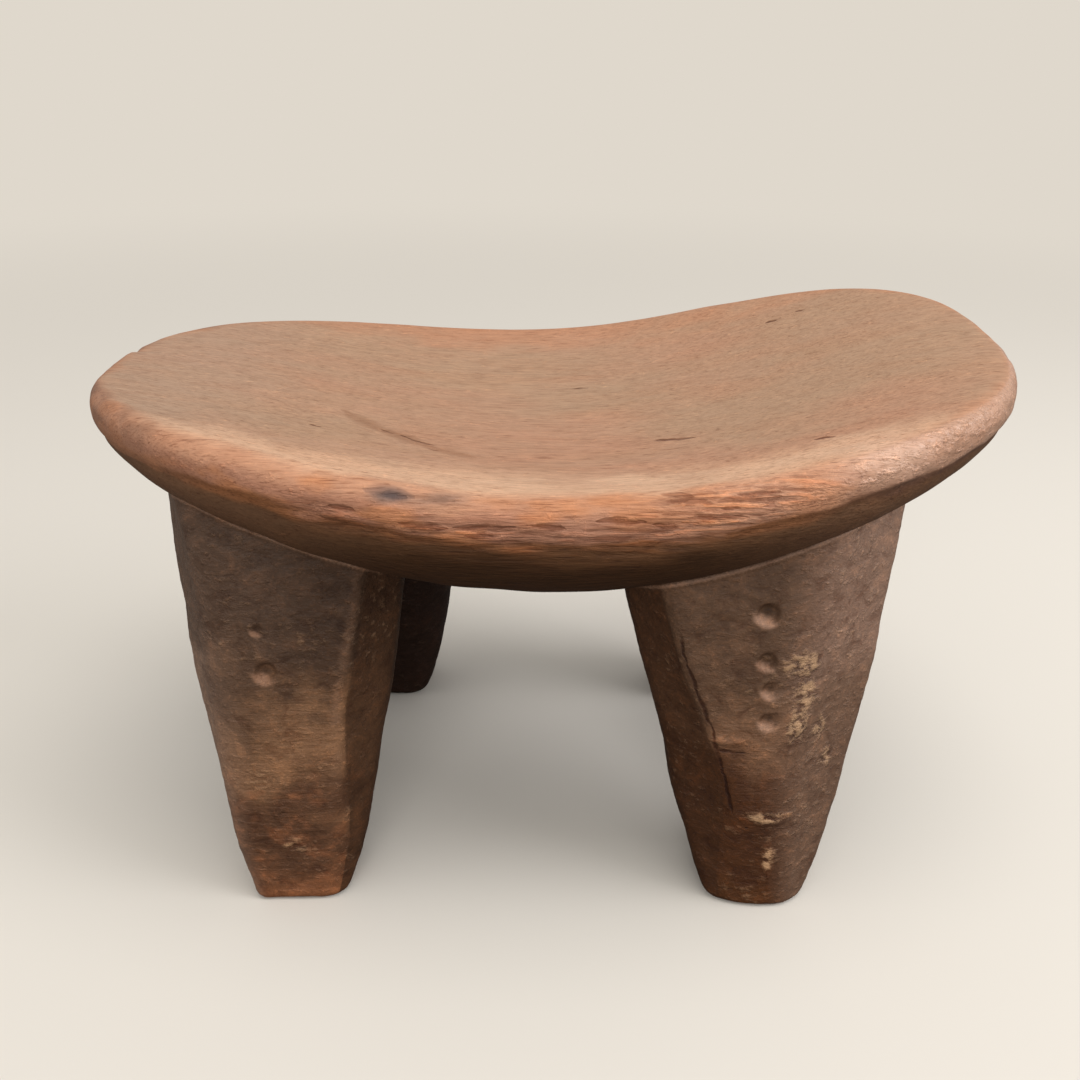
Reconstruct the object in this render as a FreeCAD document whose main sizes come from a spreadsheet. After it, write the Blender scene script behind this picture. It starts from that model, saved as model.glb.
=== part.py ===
"""Four-legged headrest stool carved from one block of wood, as a parametric document.

Millimetres. The origin is on the floor under the middle of the seat, +X runs along the
seat towards its higher end, +Y to the back and +Z up.

The seat is a loft through sections that stand across its length. Each leg is a loft
through three level outlines, trimmed by the seat so that it ends at the seat's underside.
"""

import FreeCAD
import Part
import Sketcher
import os

V = FreeCAD.Vector

# Driving dimensions, all kept in the spreadsheet called Size
DIMENSIONS = {
    # Seat plan
    "seat_length": 383,        # along X, end to end
    "seat_depth": 229,         # along Y, at the middle
    "outline_power": 2.6,      # 2 would be an ellipse, more is squarer
    "outline_fill": 0.98,      # below 1 leaves a short blunt face at each end
    # Crest line, which runs round the top of the rim
    "crest_height": 199,       # at the middle of the seat
    "saddle_rise": 21.3,       # both ends above the middle
    "saddle_ease": 1.25,       # how much the rise levels off towards the ends
    "end_tilt": 6.9,           # right end further up, left end further down
    "back_lift": 2.5,          # back edge above the seat's centre line
    "twist": 8.4,              # back edge further up at the right end
    # Seat section
    "dish_sag": 7,             # hollow of the top below the crests, at the middle
    "dish_fade": 0.9,          # share of that hollow lost at the ends
    "crest_inset": 8,          # crest inside the outermost edge
    "rim_height": 17,          # crest to the lower edge of the rounded rim
    "rim_radius": 12,
    "rim_tuck": 2,             # lower edge of the rim inside the outermost edge
    "bowl_depth": 43,          # lower edge of the rim to the underside
    "bowl_floor": 0.62,        # flat part of the underside, as a share of the width
    "bowl_shoulder": 0.85,     # depth of the haunches, as a share of the bowl
    # Levels of the leg outlines above the floor
    "foot_level": 0,
    "knee_level": 85,
    "top_level": 189,
    # Leg outlines along X, measured from the middle of the seat
    "left_foot_inner": 89,
    "left_foot_outer": 127,
    "left_knee_inner": 68,
    "left_knee_outer": 149,
    "left_top_inner": 52,
    "left_top_outer": 153,
    "right_foot_inner": 71,
    "right_foot_outer": 109,
    "right_knee_inner": 46,
    "right_knee_outer": 135,
    "right_top_inner": 25,
    "right_top_outer": 140,
    "left_rear_shift": 18,     # rear leg stands this much nearer the middle
    "right_rear_shift": 3,
    # Leg outlines along Y: the outward face, and the thickness behind it
    "foot_reach": 101,
    "foot_thick": 40,
    "knee_reach": 98,
    "knee_thick": 54,
    "top_reach": 89,
    "top_thick": 62,
    # Corner facets of the leg outlines, as shares of their width and thickness
    "outer_facet_wide": 0.29,
    "outer_facet_thick": 0.5,
    "inner_facet_wide": 0.2,
    "inner_facet_thick": 0.36,
    "foot_facet": 0.4,         # facets of the foot, as a share of the full facets
    # Dimples in the outward faces of the two front legs
    "dimple_radius": 6,
    "dimple_sink": 2.2,        # deepest point below the face
}

STATIONS_PER_HALF = 5

# How far the seat section's arcs first swell, as shares of their chords
RIM_SWELL = 0.25
HAUNCH_SWELL = 0.12
FLAT_SWELL = 0.03

LEVELS = ("foot", "knee", "top")

# Node name, which set of leg widths it uses, side along X, side along Y
LEGS = (
    ("front_left_leg", "left", -1, -1),
    ("front_right_leg", "right", 1, -1),
    ("rear_left_leg", "left", -1, 1),
    ("rear_right_leg", "right", 1, 1),
)

# Dimples of each front leg: place along X, and height
DIMPLES = {
    "front_left_leg": ((-115, 132), (-113, 114)),
    "front_right_leg": ((84, 142), (85, 122), (87.5, 109), (88, 95)),
}


def make_sheet(doc):
    """Spreadsheet with one plain number for each driving dimension."""
    sheet = doc.addObject("Spreadsheet::Sheet", "Size")
    for row, (alias, number) in enumerate(DIMENSIONS.items(), start=1):
        sheet.set(f"A{row}", alias)
        sheet.set(f"B{row}", str(number))
        sheet.setAlias(f"B{row}", alias)
    doc.recompute()


def origin_plane(body, role):
    """Origin plane of a body, such as XY_Plane."""
    for feature in body.Origin.OriginFeatures:
        if feature.Role == role:
            return feature
    raise RuntimeError(f"{body.Label} has no {role}")


def new_sketch(body, name, role):
    """Sketch on one of the body's own origin planes."""
    sketch = body.newObject("Sketcher::SketchObject", name)
    sketch.AttachmentSupport = [(origin_plane(body, role), "")]
    sketch.MapMode = "FlatFace"
    return sketch


def point_at(sketch, place):
    """Sketch point that a pair of expressions gives now."""
    numbers = [sketch.evalExpression(text) for text in place]
    return V(*[getattr(number, "Value", number) for number in numbers], 0)


def constrain(sketch, expression, *definition):
    """Add a dimension constraint that follows an expression."""
    number = sketch.evalExpression(expression)
    index = sketch.addConstraint(Sketcher.Constraint(*definition, float(number)))
    sketch.setExpression(f"Constraints[{index}]", expression)


def pin(sketch, edge, end, place):
    """Hold one end of an edge at a pair of expressions."""
    origin = (-1, 1)
    constrain(sketch, place[0], "DistanceX", *origin, edge, end)
    constrain(sketch, place[1], "DistanceY", *origin, edge, end)


def join(sketch, kind, edge, end, other, other_end):
    """Join two edge ends, by Coincident or smoothly by Tangent."""
    sketch.addConstraint(Sketcher.Constraint(kind, edge, end, other, other_end))


def arc_between(start, end, swell):
    """Arc from start to end that swells to the right of its chord, by a share of it."""
    chord = end - start
    middle = (start + end) * 0.5 + V(chord.y, -chord.x, 0) * swell
    return Part.Arc(start, middle, end)


def seat_section(body, index):
    """Closed section of the seat at one station, with its own crest level as zero.

    Stations run from -1 at the left end to 1 at the right end and crowd together there.
    """
    station = f"sin({index} * 90 deg / {STATIONS_PER_HALF})"
    sketch = new_sketch(body, f"Section{index + STATIONS_PER_HALF}", "YZ_Plane")
    crest = (
        f"Size.crest_height + Size.end_tilt * {station}"
        f" + Size.saddle_rise * ((1 + Size.saddle_ease) * {station}^2"
        f" - Size.saddle_ease * {station}^4)"
    )
    roll = f"atan(2 * (Size.back_lift + Size.twist * {station}) / Size.seat_depth)"
    sketch.setExpression("AttachmentOffset.Base.z", f"Size.seat_length / 2 * {station}")
    sketch.setExpression("AttachmentOffset.Base.y", crest)
    sketch.setExpression("AttachmentOffset.Rotation.Angle", roll)

    reach = (
        f"Size.seat_depth / 2 * (1 - Size.outline_fill * abs({station})^Size.outline_power)"
        f"^(1 / Size.outline_power)"
    )
    sag = f"Size.dish_sag * (1 - Size.dish_fade * {station}^2)"
    bowl = f"Size.bowl_depth * sqrt(1 - Size.outline_fill * {station}^2)"
    crest_point = (f"{reach} - Size.crest_inset", "0")
    rim_point = (f"{reach} - Size.rim_tuck", "-Size.rim_height")
    haunch_point = (
        f"Size.bowl_floor * ({reach})",
        f"-Size.rim_height - Size.bowl_shoulder * {bowl}",
    )

    def front(place):
        return (f"-({place[0]})", place[1])

    # From the front crest round the underside to the back crest
    places = (
        front(crest_point), front(rim_point), front(haunch_point),
        haunch_point, rim_point, crest_point,
    )
    points = [point_at(sketch, place) for place in places]
    swells = (RIM_SWELL, HAUNCH_SWELL, FLAT_SWELL, HAUNCH_SWELL, RIM_SWELL)
    arcs = [arc_between(*ends) for ends in zip(points, points[1:], swells)]
    arcs.append(arc_between(points[0], points[-1], FLAT_SWELL))
    edges = [sketch.addGeometry(arc) for arc in arcs]
    front_rim, front_haunch, floor, back_haunch, back_rim, dish = edges
    join(sketch, "Coincident", front_rim, 2, front_haunch, 1)
    join(sketch, "Tangent", front_haunch, 2, floor, 1)
    join(sketch, "Tangent", floor, 2, back_haunch, 1)
    join(sketch, "Coincident", back_haunch, 2, back_rim, 1)
    join(sketch, "Coincident", dish, 1, front_rim, 1)
    join(sketch, "Coincident", dish, 2, back_rim, 2)
    for edge, place in zip(edges[:5], places):
        pin(sketch, edge, 1, place)
    pin(sketch, back_rim, 2, crest_point)
    half_floor = f"({haunch_point[0]})"
    floor_sag = f"((1 - Size.bowl_shoulder) * {bowl})"
    half_dish = f"({crest_point[0]})"
    constrain(sketch, "Size.rim_radius", "Radius", front_rim)
    constrain(sketch, "Size.rim_radius", "Radius", back_rim)
    constrain(sketch, f"({half_floor}^2 + {floor_sag}^2) / (2 * {floor_sag})", "Radius", floor)
    constrain(sketch, f"({half_dish}^2 + ({sag})^2) / (2 * {sag})", "Radius", dish)
    return sketch


def loft_through(body, name, sections):
    """Loft of a body through its section sketches, in order."""
    loft = body.newObject("PartDesign::AdditiveLoft", name)
    loft.Profile = sections[0]
    loft.Sections = sections[1:]


def make_seat(doc):
    """Dished saddle seat with a rounded rim and a bowl-shaped underside."""
    body = doc.addObject("PartDesign::Body", "Seat")
    body.Label = "seat"
    stations = range(-STATIONS_PER_HALF, STATIONS_PER_HALF + 1)
    loft_through(body, "SeatLoft", [seat_section(body, index) for index in stations])
    doc.recompute()
    return body


def leg_outline(body, level, widths, side_x, side_y):
    """Eight-cornered outline of a leg at one level, its outward face first."""
    sketch = new_sketch(body, f"{level.title()}Outline", "XY_Plane")
    sketch.setExpression("AttachmentOffset.Base.z", f"Size.{level}_level")
    shift = f"Size.{widths}_rear_shift" if side_y > 0 else "0"
    inner = f"Size.{widths}_{level}_inner - {shift}"
    outer = f"Size.{widths}_{level}_outer - {shift}"
    width = f"(Size.{widths}_{level}_outer - Size.{widths}_{level}_inner)"
    reach = f"Size.{level}_reach"
    thick = f"Size.{level}_thick"
    share = "Size.foot_facet" if level == "foot" else "1"
    outer_wide = f"{share} * Size.outer_facet_wide * {width}"
    outer_thick = f"{share} * Size.outer_facet_thick * {thick}"
    inner_wide = f"{share} * Size.inner_facet_wide * {width}"
    inner_thick = f"{share} * Size.inner_facet_thick * {thick}"
    corners = (
        (f"{inner} + {inner_wide}", reach),
        (f"{outer} - {outer_wide}", reach),
        (outer, f"{reach} - {outer_thick}"),
        (outer, f"{reach} - {thick} + {inner_thick}"),
        (f"{outer} - {inner_wide}", f"{reach} - {thick}"),
        (f"{inner} + {inner_wide}", f"{reach} - {thick}"),
        (inner, f"{reach} - {thick} + {inner_thick}"),
        (inner, f"{reach} - {inner_thick}"),
    )
    places = [(f"{side_x} * ({x})", f"{side_y} * ({y})") for x, y in corners]
    points = [point_at(sketch, place) for place in places]
    following = points[1:] + points[:1]
    edges = [sketch.addGeometry(Part.LineSegment(*ends)) for ends in zip(points, following)]
    for edge, next_edge, place in zip(edges, edges[1:] + edges[:1], places):
        join(sketch, "Coincident", edge, 2, next_edge, 1)
        pin(sketch, edge, 1, place)
    return sketch


def cut_dimples(body, places):
    """Shallow round dimples in the outward face of a front leg, above its knee."""
    for number, (along, height) in enumerate(places, start=1):
        dimple = body.newObject("PartDesign::SubtractiveSphere", f"Dimple{number}")
        climb = f"({height} - Size.knee_level) / (Size.top_level - Size.knee_level)"
        face = f"Size.knee_reach + (Size.top_reach - Size.knee_reach) * {climb}"
        dimple.setExpression("Radius", "Size.dimple_radius")
        dimple.setExpression("AttachmentOffset.Base.x", f"{along}")
        dimple.setExpression(
            "AttachmentOffset.Base.y", f"-({face} + Size.dimple_radius - Size.dimple_sink)"
        )
        dimple.setExpression("AttachmentOffset.Base.z", f"{height}")
        dimple.AttachmentSupport = [(origin_plane(body, "XY_Plane"), "")]
        dimple.MapMode = "FlatFace"


def make_leg(doc, seat, node, widths, side_x, side_y):
    """Tapering faceted leg that ends at the seat's underside."""
    name = node.title().replace("_", "")
    body = doc.addObject("PartDesign::Body", f"{name}Blank")
    outlines = [leg_outline(body, level, widths, side_x, side_y) for level in LEVELS]
    loft_through(body, f"{name}Loft", outlines)
    doc.recompute()
    cut_dimples(body, DIMPLES.get(node, ()))
    leg = doc.addObject("Part::Cut", name)
    leg.Label = node
    leg.Base = body
    leg.Tool = seat
    doc.recompute()
    return leg


def check(doc, pieces):
    """Stop if an object of the document failed or a piece isn't one valid solid."""
    for item in doc.Objects:
        if "Invalid" in item.State or "Error" in item.State:
            raise RuntimeError(f"{item.Name} is {item.State}")
    for piece in pieces:
        shape = piece.Shape
        if shape.isNull() or not shape.isValid() or len(shape.Solids) != 1:
            raise RuntimeError(f"{piece.Label} isn't one valid solid")


doc = FreeCAD.newDocument("HeadrestStool")
make_sheet(doc)
seat = make_seat(doc)
pieces = [seat] + [make_leg(doc, seat, *leg) for leg in LEGS]
check(doc, pieces)

os.makedirs("parts", exist_ok=True)
for piece in pieces:
    piece.Shape.exportStep(f"parts/{piece.Label}.step")
    print(piece.Label, round(piece.Shape.Volume), piece.Shape.BoundBox)
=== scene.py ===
import math

import bpy
import numpy as np
from mathutils import Matrix, Vector


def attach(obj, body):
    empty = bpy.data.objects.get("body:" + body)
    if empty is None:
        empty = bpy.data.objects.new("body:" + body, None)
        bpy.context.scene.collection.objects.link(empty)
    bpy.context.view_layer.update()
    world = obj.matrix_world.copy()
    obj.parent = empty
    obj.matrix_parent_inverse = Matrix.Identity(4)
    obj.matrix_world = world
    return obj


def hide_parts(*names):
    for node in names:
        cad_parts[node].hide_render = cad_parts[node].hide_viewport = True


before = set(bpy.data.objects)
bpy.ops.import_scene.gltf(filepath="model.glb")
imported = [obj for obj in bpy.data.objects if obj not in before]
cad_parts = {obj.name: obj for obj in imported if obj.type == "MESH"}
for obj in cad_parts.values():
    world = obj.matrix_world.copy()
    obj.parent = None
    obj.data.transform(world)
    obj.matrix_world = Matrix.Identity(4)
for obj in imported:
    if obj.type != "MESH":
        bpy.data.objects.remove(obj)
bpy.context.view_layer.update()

# ----- Sizes in millimetres, in the frame of the CAD model -----

# Seat plan: the widest place, the reach of each end from it, and how square each end is
SEAT_MIDDLE_X = -3.5
SEAT_LEFT = 188.5
SEAT_RIGHT = 193.8
SEAT_HALF_DEPTH = 115.0
OUTLINE_POWER_LEFT = 2.72
OUTLINE_POWER_RIGHT = 2.59
WAIST = 1.4
# Crest heights along the seat's middle line, (x, z)
CREST_STATIONS = (
    (-190, 213.4), (-143, 211.4), (-93, 204.9), (-48, 200.9), (-3, 199.0),
    (42, 202.6), (87, 211.5), (137, 223.2), (190, 229.0),
)
BACK_LIFT = 2.6
TWIST_PER_MM = 0.041
DISH_SAG = 7.0
# Crest inside the outline, then the rim's height and how far its lower edge tucks in
CREST_INSET_END = 5.5
CREST_INSET_FRONT = 9.6
CREST_INSET_FRONT_RIGHT = 6.0
CREST_INSET_BACK = 5.8
RIM_END = 15.8
RIM_SIDE = 18.0
TUCK_END = 3.7
TUCK_SIDE = 2.0
# Underside: depth below the rim and the powers that shape its curve
BOWL_DEPTH = 41.5
BOWL_ROOT = 0.535
BOWL_POWER_LEFT = 1.55
BOWL_POWER_RIGHT = 1.9
BOWL_POWER_SIDE = 3.6

# Mesh: a grid patch on the top and one below, joined by rings that start inside the outline
DISH_MARGIN = 22.0
HAUNCH_MARGIN = 17.0
GRID_LONG = 200
GRID_WIDE = 116
DISH_RINGS = 12
UPPER_RINGS = 15
LOWER_RINGS = 11
HAUNCH_RINGS = 17

# x of each leg's four upright edges against height, (z, x)
LEFT_LEG = {
    "outer": (
        (0, -127.5), (10, -131.5), (25, -134.5), (45, -137.5), (70, -145), (100, -151.5),
        (135, -154), (165, -156), (190, -157),
    ),
    "soft": ((0, -125), (30, -132), (60, -134), (110, -133.5), (150, -136.5), (190, -144)),
    "crisp": (
        (0, -94), (20, -92.3), (50, -88.3), (75, -86.3), (95, -85.5), (115, -81.7),
        (150, -74.8), (190, -69.5),
    ),
    "inner": (
        (0, -88), (10, -84), (25, -79.8), (45, -75.5), (70, -71.4), (100, -65.6),
        (135, -60.6), (190, -54.6),
    ),
}
RIGHT_LEG = {
    "outer": (
        (0, 113), (10, 117), (25, 122), (45, 127), (70, 131), (100, 136.5), (135, 139.5),
        (165, 143), (190, 145.3),
    ),
    "soft": ((0, 103), (30, 100), (60, 97), (85, 96), (110, 99), (150, 106), (190, 112)),
    "crisp": (
        (0, 82), (20, 82), (50, 78.5), (75, 71.7), (95, 63.6), (115, 55.2), (150, 44.8),
        (190, 36.3),
    ),
    "inner": (
        (0, 71), (10, 66.5), (25, 62), (45, 55.5), (70, 50), (100, 41), (135, 31), (190, 20),
    ),
}
# y of the outward face, thickness behind it and corner facets against height, (z, size)
FRONT_FACE = ((0, 101), (85, 98), (150, 91), (190, 84))
LEG_THICK = ((0, 40), (85, 54), (190, 62))
OUTER_CHAMFER = ((0, 8), (30, 16), (85, 27), (190, 31))
INNER_CHAMFER = ((0, 6), (30, 12), (85, 19), (190, 22))
SOLE_ROUND = 4.0
SOLE_ROWS = 5
# Sizes of the rings that close the sole and the top, as shares of the leg's outline there
SOLE_RINGS = (0.25, 0.5, 0.75, 0.92)
CAP_RINGS = (0.9, 0.7, 0.45, 0.2)
LEG_ROWS = 215
LEG_TOP = 190.0
LEVEL_STEP = 0.5
# How far the top runs into the seat, and how far the rear legs stand from the front ones in x
LEG_BURY = 3.0
REAR_LEFT_SHIFT = 18.0
REAR_RIGHT_SHIFT = -3.0


# ----- Noise and small helpers -----

def lattice(cells, seed):
    """Repeatable value from 0 to 1 at each whole-number lattice point."""
    mixed = (cells[:, 0] * 73856093) ^ (cells[:, 1] * 19349663) ^ (cells[:, 2] * 83492791)
    mixed = (mixed ^ (seed * 40503)) & 0xFFFFFFFF
    mixed = ((mixed ^ (mixed >> 15)) * 224682251) & 0xFFFFFFFF
    mixed = ((mixed ^ (mixed >> 13)) * 326648991) & 0xFFFFFFFF
    return ((mixed ^ (mixed >> 16)) & 0xFFFFFF) / 0xFFFFFF


def noise(points, size, seed, octaves=2):
    """Smooth noise, about -1 to 1, with features `size` millimetres long in x, y and z."""
    scale = np.array(size, float)
    total = np.zeros(len(points))
    weight = 1.0
    for octave in range(octaves):
        place = points / scale + 31.7 * (octave + 1)
        cell = np.floor(place).astype(np.int64)
        part = place - cell
        part = part * part * (3 - 2 * part)
        for corner in range(8):
            step = np.array([corner & 1, corner >> 1 & 1, corner >> 2])
            share = np.prod(np.where(step == 1, part, 1 - part), axis=1)
            total += weight * share * (2 * lattice(cell + step, seed + 7 * octave) - 1)
        weight *= 0.5
        scale = scale / 2
    return total


def ease(value, low, high):
    """0 below low, 1 above high, smooth between; low may be the larger."""
    part = np.clip((value - low) / (high - low), 0, 1)
    return part * part * (3 - 2 * part)


def band(value, low, high, soft):
    """1 between low and high, fading to 0 over `soft` on both sides."""
    return ease(value, low - soft, low + soft) * ease(value, high + soft, high - soft)


def bump(points, centre, radii):
    """Smooth mound, 1 at the centre and 0 outside the ellipsoid with these radii."""
    return ease(np.linalg.norm((points - centre) / radii, axis=1), 1, 0)


def curve(stations, value):
    """Smooth curve through (position, height) pairs."""
    at, height = np.array(stations, float).T
    slope = np.gradient(height, at)
    value = np.clip(value, at[0], at[-1])
    left = np.clip(np.searchsorted(at, value, side="right") - 1, 0, len(at) - 2)
    gap = at[left + 1] - at[left]
    t = (value - at[left]) / gap
    return (
        (2 * t**3 - 3 * t**2 + 1) * height[left]
        + (t**3 - 2 * t**2 + t) * gap * slope[left]
        + (3 * t**2 - 2 * t**3) * height[left + 1]
        + (t**3 - t**2) * gap * slope[left + 1]
    )


def tone(red, green, blue):
    """Linear colour from the usual 0 to 255 screen values."""
    value = np.array([red, green, blue]) / 255
    return np.where(value <= 0.04045, value / 12.92, ((value + 0.055) / 1.055) ** 2.4)


def paint_over(colours, *layers):
    """Colours with each (colour, share) layer mixed over them in turn."""
    for colour, share in layers:
        colours = colours + (colour - colours) * np.clip(share, 0, 1)[:, None]
    return colours


# ----- Seat surface -----

crest_line = np.polynomial.Polynomial.fit(*np.array(CREST_STATIONS, float).T, 5)


def crest_level(x, y):
    """Height of the crest surface, which dips in the middle and rolls along its length."""
    return crest_line(x) + (BACK_LIFT + TWIST_PER_MM * x) * y / SEAT_HALF_DEPTH


def half_depth(x):
    """Half of the seat's depth, a little less in the middle."""
    return SEAT_HALF_DEPTH - WAIST * np.exp(-(((x - 15) / 55) ** 2))


def plan_ratio(x, y, inset):
    """0 at the seat's middle, 1 on the outline drawn in by `inset`."""
    along = x - SEAT_MIDDLE_X
    power = np.where(along < 0, OUTLINE_POWER_LEFT, OUTLINE_POWER_RIGHT)
    half = np.where(along < 0, SEAT_LEFT, SEAT_RIGHT) - inset
    wide = np.abs(y) / (half_depth(x) - inset)
    return ((np.abs(along) / half) ** power + wide**power) ** (1 / power)


def side_share(x, y):
    """0 towards the seat's two ends, 1 towards its front and back."""
    along = ((x - SEAT_MIDDLE_X) / SEAT_LEFT) ** 2
    across = (y / SEAT_HALF_DEPTH) ** 2
    return across / (along + across + 1e-9)


def between(first, last, share):
    """A size that changes from its first value to its last one."""
    return first + (last - first) * share


def dish_level(x, y):
    """Height of the dished top."""
    ratio = np.clip(plan_ratio(x, y, 7), 0, 1)
    return crest_level(x, y) - DISH_SAG * (1 - ratio**2.2)


def bowl_level(x, y, ratio):
    """Height of the underside where the plan ratio is known."""
    share = side_share(x, y)
    end_power = np.where(x < SEAT_MIDDLE_X, BOWL_POWER_LEFT, BOWL_POWER_RIGHT)
    power = between(end_power, BOWL_POWER_SIDE, share)
    depth = BOWL_DEPTH * np.clip(1 - ratio**power, 0, 1) ** BOWL_ROOT
    return crest_level(x, y) - between(RIM_END, RIM_SIDE, share) - depth


def under_level(x, y):
    """Height of the bowl-shaped underside."""
    tuck = between(TUCK_END, TUCK_SIDE, side_share(x, y))
    return bowl_level(x, y, np.clip(plan_ratio(x, y, tuck), 0, 1))


def outline_table(count=4096):
    """Plan outline at even steps along its length: points and outward normals."""
    angle = np.linspace(0, 2 * math.pi, 8 * count, endpoint=False)
    cosine, sine = np.cos(angle), np.sin(angle)
    half = np.where(cosine < 0, SEAT_LEFT, SEAT_RIGHT)
    power = 2 / np.where(cosine < 0, OUTLINE_POWER_LEFT, OUTLINE_POWER_RIGHT)
    x = SEAT_MIDDLE_X + half * np.sign(cosine) * np.abs(cosine) ** power
    y = half_depth(x) * np.sign(sine) * np.abs(sine) ** power
    ring = np.column_stack([x, y])
    closed = np.vstack([ring, ring[:1]])
    travel = np.concatenate([[0], np.cumsum(np.linalg.norm(np.diff(closed, axis=0), axis=1))])
    even = np.linspace(0, travel[-1], count, endpoint=False)
    points = np.column_stack([np.interp(even, travel, column) for column in closed.T])
    tangent = np.roll(points, -6, axis=0) - np.roll(points, 6, axis=0)
    tangent /= np.linalg.norm(tangent, axis=1)[:, None]
    normals = np.column_stack([tangent[:, 1], -tangent[:, 0]])
    return points, normals


OUTLINE, NORMALS = outline_table()


def on_outline(share):
    """Outline points and normals at shares 0 to 1 of the way round."""
    place = share % 1 * len(OUTLINE)
    low = np.floor(place).astype(int) % len(OUTLINE)
    part = (place % 1)[:, None]
    high = (low + 1) % len(OUTLINE)
    points = OUTLINE[low] * (1 - part) + OUTLINE[high] * part
    normals = NORMALS[low] * (1 - part) + NORMALS[high] * part
    return points, normals / np.linalg.norm(normals, axis=1)[:, None]


def square_share(u, v):
    """How far round a square's edge (u, v) lies, as a share, starting at u = 1, v = 0."""
    total = 2 * (GRID_LONG + GRID_WIDE)
    size = np.maximum(np.abs(u), np.abs(v)) + 1e-12
    a, b = u / size, v / size
    east = b * GRID_WIDE / 2
    north = GRID_WIDE / 2 + (1 - a) * GRID_LONG / 2
    west = GRID_WIDE / 2 + GRID_LONG + (1 - b) * GRID_WIDE / 2
    south = 1.5 * GRID_WIDE + GRID_LONG + (a + 1) * GRID_LONG / 2
    sides = a >= 1 - 1e-9, b >= 1 - 1e-9, a <= -1 + 1e-9
    steps = np.select(sides, (east, north, west), south)
    return steps / total % 1, size - 1e-12


def patch(margin):
    """Plan points of a square grid laid over the outline drawn in by `margin`."""
    u, v = np.meshgrid(
        np.linspace(-1, 1, GRID_LONG + 1), np.linspace(-1, 1, GRID_WIDE + 1), indexing="ij"
    )
    share, ring = square_share(u.ravel(), v.ravel())
    points, normals = on_outline(share)
    middle = (SEAT_MIDDLE_X, 0)
    edge = points - margin * normals - middle
    return middle + edge * ring[:, None]


def grid_index():
    """Vertex numbers of a patch, laid out like its grid."""
    return np.arange((GRID_LONG + 1) * (GRID_WIDE + 1)).reshape(-1, GRID_WIDE + 1)


def border_indices():
    """Grid indices of the patch's border, counter-clockwise from the middle of its right side."""
    index = grid_index()
    half = GRID_WIDE // 2
    return np.concatenate([
        index[-1, half:-1], index[:0:-1, -1], index[0, :0:-1], index[:-1, 0], index[-1, :half]
    ])


def grid_faces(start, flip):
    """Quads of one patch whose vertices begin at `start`."""
    index = grid_index() + start
    corners = [index[:-1, :-1], index[1:, :-1], index[1:, 1:], index[:-1, 1:]]
    quads = np.stack(corners, axis=2).reshape(-1, 4)
    return quads[:, ::-1] if flip else quads


def rim_profile(points, normals):
    """Inward distance of each ring, drop of the rim's rings below the crest, and the tuck."""
    facing = normals[:, 1]
    to_right = ease(points[:, 0], 20, 150)
    front_inset = between(CREST_INSET_FRONT, CREST_INSET_FRONT_RIGHT, to_right)
    side_inset = np.where(facing < 0, front_inset, CREST_INSET_BACK)
    inset = (CREST_INSET_END * (1 - facing**2) + facing**2 * side_inset)[:, None]
    share = side_share(*points.T)[:, None]
    tuck = between(TUCK_END, TUCK_SIDE, share)
    tall = between(RIM_END, RIM_SIDE, share)
    turn = np.linspace(0, math.pi / 2, UPPER_RINGS + 1)[1:]
    under = np.linspace(0, math.pi / 3, LOWER_RINGS + 1)[1:]
    dish_in = DISH_MARGIN + (inset - DISH_MARGIN) * np.linspace(0, 1, DISH_RINGS + 1)
    upper_in = inset * (1 - np.sin(turn))
    upper_drop = 0.5 * tall * (1 - np.cos(turn))
    lower_in = tuck * (1 - np.cos(under)) / (1 - math.cos(math.pi / 3))
    lower_drop = tall * (0.5 + 0.5 * np.sin(under) / math.sin(math.pi / 3))
    haunch_in = tuck + (HAUNCH_MARGIN - tuck) * np.linspace(0, 1, HAUNCH_RINGS + 1)[1:] ** 2
    inward = np.hstack([dish_in, upper_in, lower_in, haunch_in])
    return inward, np.hstack([upper_drop, lower_drop]), tuck


def smooth_rings(values, passes):
    """Rounds the profile's corners by averaging neighbours along it, its two ends held."""
    for _ in range(passes):
        inner = (values[:, :-2] + 2 * values[:, 1:-1] + values[:, 2:]) / 4
        values = np.hstack([values[:, :1], inner, values[:, -1:]])
    return values


def seat_rings():
    """Points of the rings between the two patches, as (outline, ring, xyz)."""
    total = 2 * (GRID_LONG + GRID_WIDE)
    points, normals = on_outline(np.arange(total) / total)
    inward, drop, tuck = rim_profile(points, normals)
    x = points[:, :1] - inward * normals[:, :1]
    y = points[:, 1:] - inward * normals[:, 1:]
    first = DISH_RINGS + 1
    last = first + drop.shape[1]
    ratio = plan_ratio(x[:, last - 1:], y[:, last - 1:], tuck)
    settle = 1 + (1 / ratio[:, :1] - 1) * np.linspace(1, 0, HAUNCH_RINGS + 1)
    ratio = np.clip(ratio * settle, 0, 1)[:, 1:]
    dish = dish_level(x, y)[:, :first]
    rim = crest_level(x, y)[:, first:last] - drop
    height = np.hstack([dish, rim, bowl_level(x[:, last:], y[:, last:], ratio)])
    return np.stack([smooth_rings(value, 4) for value in (x, y, height)], axis=2)


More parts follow.
